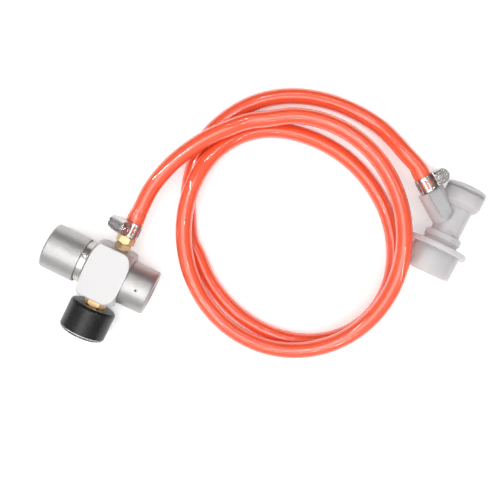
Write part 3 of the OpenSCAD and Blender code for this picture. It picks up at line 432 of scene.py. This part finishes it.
# The keys are the record's material slots.
LOOKS = {
    "block": material(
        "bead_blasted", (0.52, 0.51, 0.51), 0.46, metal=0.6, vary=0.015, patch=900,
        rough_vary=0.03, bump=0.00008, grain=3000),
    "bonnet": material(
        "bonnet_steel", (0.6, 0.58, 0.55), 0.3, metal=1, rough_vary=0.02, bump=0.00001,
        grain=4200, turned=MAIN_AXIS),
    "knob": material("knob_steel", (0.47, 0.46, 0.455), 0.44, metal=0.85, **BLASTED),
    "inlet": material("inlet_steel", (0.46, 0.45, 0.445), 0.42, metal=0.88, **BLASTED),
    "inner_steel": material("inner_steel", (0.45, 0.45, 0.46), 0.35, metal=1, turned=MAIN_AXIS),
    "spring_steel": material("spring_wire", (0.55, 0.55, 0.57), 0.25, metal=1, bump=0.00001),
    "inner_brass": material("inner_brass", (0.75, 0.55, 0.27), 0.3, metal=1),
    "outlet_brass": material(
        "outlet_brass", (0.66, 0.47, 0.26), 0.42, metal=1, vary=0.05, turned=PORT_AXIS),
    "gauge_brass": material(
        "gauge_brass", (0.72, 0.49, 0.26), 0.4, metal=1, vary=0.06, turned=PORT_AXIS),
    "sintered_filter": material(
        "sintered_filter", (0.45, 0.32, 0.18), 0.7, metal=0.8, bump=0.0001, grain=3000),
    "black_seal": material("black_seal", (0.02, 0.02, 0.02), 0.55),
    "white_seal": material("white_seal", (0.82, 0.82, 0.8), 0.45),
    "gauge_case": material(
        "gauge_black", (0.008, 0.008, 0.009), 0.28, vary=0.3, bump=0.00002, grain=2200,
        Specular_IOR_Level=0.4),
    "gauge_lens": material(
        "gauge_clear", (0.98, 0.99, 1.0), 0.04, vary=0.0, rough_vary=0.02, bump=0.000002, **CLEAR),
    "gauge_dial": material("gauge_white", (0.85, 0.85, 0.83), 0.5, vary=0.02),
    "gauge_needle": material("gauge_needle", (0.02, 0.02, 0.02), 0.4),
    "clamp_band": material("band_steel", (0.55, 0.53, 0.52), 0.24, **PRESSED),
    "clamp_housing": material("housing_steel", (0.58, 0.56, 0.55), 0.28, **PRESSED),
    "clamp_screw": material("screw_steel", (0.5, 0.49, 0.48), 0.22, metal=1, vary=0.08),
    "disconnect_body": material("grey_plastic", PLASTIC_GREY, 0.16, **MILKY),
    "disconnect_cap": material("cap_plastic", PLASTIC_GREY, 0.18, **MILKY),
    "locking_sleeve": material("sleeve_plastic", PLASTIC_GREY, 0.16, **MILKY),
    "poppet": material("poppet_plastic", (0.75, 0.75, 0.76), 0.4),
    "lock_ball": material("ball_steel", (0.8, 0.8, 0.8), 0.08, metal=1, vary=0.02, bump=0.000005),
    "hose": material(
        "hose_red", (0.95, 0.105, 0.034), 0.1, vary=0.05, patch=45, rough_vary=0.04,
        bump=0.00001, grain=350, Subsurface_Weight=0.35, Subsurface_Scale=0.003,
        Subsurface_Radius=(1.0, 0.25, 0.15), Coat_Weight=1.0, Coat_Roughness=0.03, Coat_IOR=1.6),
}


def dress(piece, look):
    """Gives a piece one of the looks, and no other material."""
    piece.data.materials.clear()
    piece.data.materials.append(LOOKS[look])


SLOTS = {entry["node"]: entry["material_slot"] for entry in frame["record"]["subparts"]}
for cad_node, cad_slot in SLOTS.items():
    dress(nodes[cad_node], cad_slot)
dress(hose, "hose")
# The dial's two inks have no slot of their own in the record.
LOOKS["print_black"] = material("print_black", (0.02, 0.02, 0.02), 0.5)
LOOKS["print_red"] = material("print_red", (0.6, 0.02, 0.02), 0.5)


# The inlet, with its thread
# Rows are (radius, distance along the axis from the block's face), in millimetres, once round the
# section: spigot in the block, outside, rounded rim, and after the thread the floor and its seat.
SPIGOT_ROWS = ((2.5, -4.4), (6.95, -4.4), (6.95, 0.0), (13.6, 0.0), (14.1, 0.25))
INLET_R, RIM_ROUND, RIM_START = 14.1, 1.5, 15.5
SIDE_ROWS = (4.0, 8.0, 12.0, RIM_START)
MOUTH_ROWS = ((10.3, INLET_LENGTH), (10.1, 16.95), (8.72, 15.55))
FLOOR_ROWS = ((8.7, 6.0), (7.95, 6.0), (7.95, 4.3), (3.65, 4.3), (3.65, 3.1), (2.5, 3.1))
THREAD_R, THREAD_TOP, THREAD_FOOT = 8.7, 15.4, 6.1
THREAD_PITCH, THREAD_DEPTH, THREAD_ROWS = 4.0, 1.1, 60
THREAD_FLANK, THREAD_RUN_IN, THREAD_RUN_OUT = 0.12, 1.2, 0.8
INLET_SIDES, INLET_SHARP = 96, 30
VENT_R, VENT_DEPTH, VENT_ALONG, VENT_OUT = 0.75, 7.5, 8.5, 11.6


def thread_groove(along, share):
    """How deep the thread is cut at a distance along the bore and a share of the turn round it."""
    phase = ((along / THREAD_PITCH) - share) % 1.0
    groove = smooth_step((0.5 - abs(phase - 0.5) * 2 + THREAD_FLANK) / (2 * THREAD_FLANK))
    run_in = smooth_step((THREAD_TOP - along) / THREAD_RUN_IN)
    run_out = smooth_step((along - THREAD_FOOT) / THREAD_RUN_OUT)
    return THREAD_DEPTH * groove * (run_in * run_out)


def make_vent_tool():
    """A rod that cuts the vent hole in the inlet's upper side."""
    rod = bmesh.new()
    bmesh.ops.create_cone(
        rod, cap_ends=True, segments=32, radius1=VENT_R * MM, radius2=VENT_R * MM,
        depth=VENT_DEPTH * MM)
    bmesh.ops.translate(
        rod, verts=rod.verts, vec=mm(INLET_X + VENT_ALONG, AXIS_Y, AXIS_Z + VENT_OUT))
    mesh = bpy.data.meshes.new("vent_tool")
    rod.to_mesh(mesh)
    rod.free()
    tool = bpy.data.objects.new("vent_tool", mesh)
    bpy.context.scene.collection.objects.link(tool)
    return tool


def make_inlet():
    """The inlet turned from its outline, with a trapezoidal thread in its bore and the vent hole."""
    outline = list(SPIGOT_ROWS) + [(INLET_R, along) for along in SIDE_ROWS]
    for a in (math.radians(d) for d in range(15, 91, 15)):
        outline.append((
            INLET_R - RIM_ROUND + RIM_ROUND * math.cos(a), RIM_START + RIM_ROUND * math.sin(a)))
    outline += MOUTH_ROWS
    threaded = range(len(outline), len(outline) + THREAD_ROWS)
    for i in range(THREAD_ROWS):
        outline.append((THREAD_R, THREAD_TOP + (THREAD_FOOT - THREAD_TOP) * i / (THREAD_ROWS - 1)))
    outline += FLOOR_ROWS
    verts, faces = [], []
    for row, (radius, along) in enumerate(outline):
        for k in range(INLET_SIDES):
            angle = 2 * math.pi * k / INLET_SIDES
            r = radius + thread_groove(along, k / INLET_SIDES) if row in threaded else radius
            verts.append(mm(
                INLET_X + along, AXIS_Y + r * math.cos(angle), AXIS_Z + r * math.sin(angle)))
    rows = len(outline)
    for i in range(rows):
        for k in range(INLET_SIDES):
            a, b = i * INLET_SIDES, ((i + 1) % rows) * INLET_SIDES
            faces.append([a + k, b + k, b + (k + 1) % INLET_SIDES, a + (k + 1) % INLET_SIDES])
    inlet = new_piece("inlet_threaded", verts, faces, sharp=INLET_SHARP)
    tool = make_vent_tool()
    cut = inlet.modifiers.new("vent", "BOOLEAN")
    cut.object, cut.operation, cut.solver = tool, "DIFFERENCE", "EXACT"
    graph = bpy.context.evaluated_depsgraph_get()
    done = bpy.data.meshes.new_from_object(inlet.evaluated_get(graph))
    inlet.modifiers.clear()
    inlet.data = done
    inlet.data.set_sharp_from_angle(angle=math.radians(INLET_SHARP))
    bpy.data.objects.remove(tool)
    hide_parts("inlet_adapter")
    dress(inlet, "inlet")


make_inlet()


# The gauge's scale
# Radii, widths and thicknesses are in millimetres, and angles in degrees.
DIAL_Y = BLOCK_BACK_Y - GAUGE_STEM_LENGTH - DIAL_DEPTH
DIAL_START, DIAL_SWEEP = -45.0, 270.0
MARKS, MARK_END, PRINT_THICK = 60, 12.1, 0.05
MAJOR_MARK, MIDDLE_MARK, MINOR_MARK = 10.2, 10.9, 11.4
MAJOR_WIDTH, MINOR_WIDTH = 0.34, 0.16
ARC_FROM, ARC_STEPS, ARC_IN, ARC_OUT = 0.75, 40, 12.2, 12.75
NUMBERS, NUMBER_TOP, NUMBER_R = (0, 15, 30, 45, 60), 60, 8.1
NUMBER_SIZE, NUMBER_THICK, NUMBER_LIFT = 3.0, 0.02, 0.04


def on_dial(radius, angle, lift):
    """A point on the dial's face, lifted from it toward the window."""
    a = math.radians(angle)
    return mm(PORT_X + radius * math.cos(a), DIAL_Y - lift, AXIS_Z + radius * math.sin(a))


def scale_angle(share):
    """The dial's direction for a share of its range; the dial's top faces the knob."""
    return DIAL_START - DIAL_SWEEP * share


def make_dial_marks():
    """The scale's marks, and the red arc at its upper end."""
    verts, faces = [], []

    def bar(r0, r1, angle, width):
        foot = len(verts)
        a = math.radians(angle)
        across = Vector((-math.sin(a), 0, math.cos(a))) * width * MM / 2
        for lift in (0.0, PRINT_THICK):
            for r, sign in ((r0, -1), (r0, 1), (r1, 1), (r1, -1)):
                verts.append(on_dial(r, angle, lift) + across * sign)
        faces.append([foot + 4, foot + 5, foot + 6, foot + 7])
        faces.append([foot + 3, foot + 2, foot + 1, foot])
        for k in range(4):
            faces.append([foot + k, foot + (k + 1) % 4, foot + 4 + (k + 1) % 4, foot + 4 + k])

    for i in range(MARKS + 1):
        major, middle = i % 10 == 0, i % 5 == 0
        start = MAJOR_MARK if major else MIDDLE_MARK if middle else MINOR_MARK
        bar(start, MARK_END, scale_angle(i / MARKS), MAJOR_WIDTH if major else MINOR_WIDTH)
    marks = new_piece("dial_marks", verts, faces, smooth=False)
    dress(marks, "print_black")
    verts, faces = [], []
    section = ((ARC_IN, 0.0), (ARC_OUT, 0.0), (ARC_OUT, PRINT_THICK), (ARC_IN, PRINT_THICK))
    for i in range(ARC_STEPS + 1):
        angle = scale_angle(ARC_FROM + (1 - ARC_FROM) * i / ARC_STEPS)
        for r, lift in section:
            verts.append(on_dial(r, angle, lift))
    for i in range(ARC_STEPS):
        for k in range(4):
            a, b = 4 * i, 4 * i + 4
            faces.append([a + k, a + (k + 1) % 4, b + (k + 1) % 4, b + k])
    end = 4 * ARC_STEPS
    faces += [[0, 1, 2, 3], [end + 3, end + 2, end + 1, end]]
    arc = new_piece("dial_red_arc", verts, faces, smooth=False)
    dress(arc, "print_red")


def make_dial_numbers():
    """The scale's numbers, which stand upright when the knob is at the top."""
    graph = bpy.context.evaluated_depsgraph_get()
    turn = Matrix(((0, -1, 0), (0, 0, -1), (1, 0, 0))).to_4x4()
    joined = bmesh.new()
    for value in NUMBERS:
        curve = bpy.data.curves.new(f"number_{value}", "FONT")
        curve.body = str(value)
        curve.size = NUMBER_SIZE * MM
        curve.extrude = NUMBER_THICK * MM
        curve.align_x, curve.align_y = "CENTER", "CENTER"
        text = bpy.data.objects.new(f"number_{value}", curve)
        bpy.context.scene.collection.objects.link(text)
        place = on_dial(NUMBER_R, scale_angle(value / NUMBER_TOP), NUMBER_LIFT)
        text.matrix_world = Matrix.Translation(place) @ turn
        graph.update()
        mesh = bpy.data.meshes.new_from_object(text.evaluated_get(graph))
        mesh.transform(text.matrix_world)
        joined.from_mesh(mesh)
        bpy.data.objects.remove(text)
    mesh = bpy.data.meshes.new("dial_numbers")
    joined.to_mesh(mesh)
    joined.free()
    numbers = bpy.data.objects.new("dial_numbers", mesh)
    bpy.context.scene.collection.objects.link(numbers)
    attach(numbers, "regulator")
    dress(numbers, "print_black")


make_dial_marks()
make_dial_numbers()


# The port's flat panel
PANEL_HALF, PANEL_LENGTH, PANEL_SHORT = 3.7, 15.5, 0.6
PANEL_FOOT, PANEL_TOP, PANEL_EDGE = 5.8, 8.25, 0.3


def make_port_panel():
    """A flat pad on the port's upper side, with a round end toward the stem."""
    end, way = Vector(QUICK_PORT), Vector(PORT_WAY)
    across = Vector((way.y, -way.x, 0.0))
    outline = [(-PANEL_SHORT, PANEL_HALF), (-PANEL_SHORT, -PANEL_HALF)]
    for a in (math.radians(d) for d in range(-90, -271, -15)):
        outline.append((-PANEL_LENGTH + PANEL_HALF * math.cos(a), PANEL_HALF * math.sin(a)))
    verts = []
    for level, grow in ((PANEL_FOOT, 0.0), (PANEL_TOP - PANEL_EDGE, 0.0), (PANEL_TOP, -PANEL_EDGE)):
        for along, side in outline:
            size = math.hypot(side, min(0.0, along + PANEL_LENGTH))
            out = across * side * (1 + grow / max(size, 1.0))
            verts.append((end + way * along + out + Vector((0, 0, level))) * MM)
    count = len(outline)
    faces = [list(range(count)), list(range(2 * count, 3 * count))[::-1]]
    for level in range(2):
        for k in range(count):
            a, b = level * count + k, level * count + (k + 1) % count
            faces.append([b, a, a + count, b + count])
    pad = new_piece("port_panel", verts, faces, sharp=25)
    dress(pad, "disconnect_body")


make_port_panel()


# The clamps' screw ends
RING_STEPS, RING_SIDES = 48, 10
# No axis here points this way, so it can't be along the one that a direction is made square to.
OFF_AXIS = Vector((0.31, 0.83, 0.47))


def on_axis(centre, axis):
    """The centre, two directions square to an axis, and the axis itself."""
    way = Vector(axis).normalized()
    side = way.cross(OFF_AXIS).normalized()
    return Vector(centre), side, way.cross(side), way


def make_rings(name, centre, axis, rings, look, body="regulator"):
    """Rings, or with more turns flat spirals, round an axis, as one piece."""
    middle, side, up, way = on_axis(centre, axis)
    verts, faces = [], []
    for along, radius, wire, turns, rise in rings:
        count = round(RING_STEPS * turns)
        path = []
        for i in range(count + 1):
            a = 2 * math.pi * turns * i / count
            r = radius + rise * i / count
            path.append((middle + way * along + (side * math.cos(a) + up * math.sin(a)) * r) * MM)
        foot = len(verts)
        ring_verts, ring_faces = swept(path, [wire * MM] * len(path), RING_SIDES)
        verts += ring_verts
        faces += [[foot + k for k in face] for face in ring_faces]
    piece = new_piece(name, verts, faces, body, sharp=60)
    dress(piece, look)


CLAMP_OUT = 9.3
CLAMP_ONE_ALONG, CLAMP_TWO_ALONG = 13.5, 4.8
CLAMP_ANGLE = math.radians(125)
CLAMP_ONE = (
    (PORT_X + CLAMP_OUT * math.cos(CLAMP_ANGLE), BLOCK_FACE_Y + CLAMP_ONE_ALONG,
     AXIS_Z + CLAMP_OUT * math.sin(CLAMP_ANGLE)),
    (math.sin(CLAMP_ANGLE), 0.0, -math.cos(CLAMP_ANGLE)))
CLAMP_TWO = (
    (QUICK_PORT[0] + CLAMP_TWO_ALONG * PORT_WAY[0] + CLAMP_OUT * PORT_WAY[1],
     QUICK_PORT[1] + CLAMP_TWO_ALONG * PORT_WAY[1] - CLAMP_OUT * PORT_WAY[0], QUICK_PORT[2]),
    (0.0, 0.0, 1.0))
# Each ring is its distance along the axis, radius, wire radius, turns and rise. The lip is fixed,
# and stays clear of the screw that turns inside it.
LIP_RINGS = ((4.5, 4.3, 0.32, 1.0, 0.0),)
SCREW_RINGS = ((4.65, 2.3, 0.34, 1.3, 1.15), (5.1, 1.45, 0.34, 1.0, 0.0))
for label, (centre, axis) in (("inlet", CLAMP_ONE), ("tail", CLAMP_TWO)):
    make_rings(f"{label}_housing_lip", centre, axis, LIP_RINGS, "clamp_housing")
    make_rings(
        f"{label}_worm_end", centre, axis, SCREW_RINGS, "clamp_screw", f"{label}_clamp_screw")


# Springs
SPRING_STEPS, SPRING_SIDES = 24, 12


def make_spring(node, along, radius, wire, coils):
    """A round wire spring in the place of the solid one.
    Along is 0 for the regulator's axis and 1 for the disconnect's; the sizes are in millimetres."""
    cad = nodes[node]
    places = [cad.matrix_world @ v.co for v in cad.data.vertices]
    start = min(p[along] for p in places)
    end = max(p[along] for p in places)
    length = end - start
    centre = mm(0, AXIS_Y, AXIS_Z) if along == 0 else mm(QUICK[0], 0, QUICK[2])
    count = SPRING_STEPS * coils
    path = []
    for i in range(count + 1):
        a = 2 * math.pi * coils * i / count
        out, up = radius * MM * math.cos(a), radius * MM * math.sin(a)
        rise = wire * MM / 2 + (length - wire * MM) * i / count
        if along == 0:
            path.append(Vector((start + rise, centre.y + up, centre.z - out)))
        else:
            path.append(Vector((centre.x + out, end - rise, centre.z + up)))
    verts, faces = swept(path, [wire * MM / 2] * len(path), SPRING_SIDES)
    spring = new_piece(f"{node}_wire", verts, faces, sharp=60)
    anchor = list(centre)
    anchor[along] = end
    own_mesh(spring)
    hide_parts(node)
    dress(spring, SLOTS[node])


make_spring("main_spring", 0, 6.0, 2.0, 6)
make_spring("valve_spring", 0, 2.9, 0.5, 3)
make_spring("poppet_spring", 1, 3.6, 0.8, 8)
make_spring("sleeve_spring", 1, 11.7, 0.8, 3)


# The pieces on the hose
def declare_cord():
    """Lists the pieces on the hose's clamps and disconnect; the list is not used."""
    trim = ["port_panel", "poppet_spring_wire", "sleeve_spring_wire"]
    trim += ["inlet_housing_lip", "inlet_worm_end", "tail_housing_lip", "tail_worm_end"]


declare_cord()


# Floor and light
# These are in metres and watts.
FLOOR_SIZE, FLOOR_Z, FLOOR_GLOW = 3.0, -0.00005, 0.3
FLOOR_PALE, FLOOR_PALER, FLOOR_ROUGHNESS = (0.9, 0.9, 0.9), (0.93, 0.93, 0.93), 0.8
WORLD_SIDE, WORLD_SIDE_FROM = (0.55, 0.06), (-0.6, 0.75)
WORLD_HEIGHT, WORLD_HEIGHT_FROM = (0.0, 0.3), (0.2, 0.95)
OVERHEAD_PLACE, OVERHEAD_AIM = (-0.04, -0.06, 0.72), (0.02, 0.02, 0.0)
OVERHEAD_SIZE, OVERHEAD_POWER = (0.5, 0.5), 1.45
STRIP_AIM, STRIP_POWER, STRIP_Z = (0.09, 0.075, 0.0), 1.1, 0.7
STRIP_LONG, STRIP_THIN = 0.8, 0.008


def make_floor():
    """A white floor that keeps the object's shadow; only camera, gloss and glass see its glow."""
    corners = ((-1, -1), (1, -1), (1, 1), (-1, 1))
    verts = [(x * FLOOR_SIZE, y * FLOOR_SIZE, FLOOR_Z) for x, y in corners]
    mesh = bpy.data.meshes.new("floor")
    mesh.from_pydata(verts, [], [[0, 1, 2, 3]])
    floor = bpy.data.objects.new("floor", mesh)
    bpy.context.scene.collection.objects.link(floor)
    made = bpy.data.materials.new("floor_white")
    made.use_nodes = True
    tree = made.node_tree
    shader = tree.nodes["Principled BSDF"]
    patches = ranged(tree, noise(tree, object_coords(tree), 3.0), 0.0, 1.0)
    tint = mixed(tree, patches, FLOOR_PALE, FLOOR_PALER)
    link(tree, tint, shader.inputs["Base Color"])
    shader.inputs["Roughness"].default_value = FLOOR_ROUGHNESS
    path = add_node(tree, "ShaderNodeLightPath")
    seen = math_node(tree, "MAXIMUM", path.outputs["Is Camera Ray"], math_node(
        tree, "MAXIMUM", path.outputs["Is Glossy Ray"], path.outputs["Is Transmission Ray"]))
    shader.inputs["Emission Color"].default_value = (1, 1, 1, 1)
    link(tree, math_node(tree, "MULTIPLY", seen, FLOOR_GLOW), shader.inputs["Emission Strength"])
    floor.data.materials.append(made)


def make_light(name, place, aim, size, power):
    """A white rectangle lamp that faces a point."""
    data = bpy.data.lights.new(name, "AREA")
    data.shape = "RECTANGLE"
    data.size, data.size_y = size
    data.energy = power
    lamp = bpy.data.objects.new(name, data)
    bpy.context.scene.collection.objects.link(lamp)
    lamp.location = place
    lamp.rotation_euler = (Vector(aim) - Vector(place)).to_track_quat("-Z", "Y").to_euler()


def make_world():
    """A studio that gets brighter upward and toward the gauge, and darker past the outlet."""
    world = bpy.data.worlds.new("studio")
    bpy.context.scene.world = world
    world.use_nodes = True
    tree = world.node_tree
    background = tree.nodes["Background"]
    direction = add_node(tree, "ShaderNodeTexCoord").outputs["Generated"]
    parts = add_node(tree, "ShaderNodeSeparateXYZ")
    link(tree, direction, parts.inputs[0])
    side = ranged(tree, parts.outputs["Y"], *WORLD_SIDE, *WORLD_SIDE_FROM)
    height = ranged(tree, parts.outputs["Z"], *WORLD_HEIGHT, *WORLD_HEIGHT_FROM)
    link(tree, math_node(tree, "ADD", side, height), background.inputs["Strength"])
    background.inputs["Color"].default_value = (1, 1, 1, 1)


make_floor()
make_world()
make_light("overhead", OVERHEAD_PLACE, OVERHEAD_AIM, OVERHEAD_SIZE, OVERHEAD_POWER)
for label, x, y, size in (
        ("left", -0.36, 0.1, (STRIP_THIN, STRIP_LONG)), ("right", 0.54, 0.05, (STRIP_THIN, STRIP_LONG)),
        ("far", 0.09, 0.52, (STRIP_LONG, STRIP_THIN)), ("near", 0.09, -0.37, (STRIP_LONG, STRIP_THIN))):
    make_light(f"strip_{label}", (x, y, STRIP_Z), STRIP_AIM, size, STRIP_POWER)
bpy.context.scene.view_settings.view_transform = "Standard"
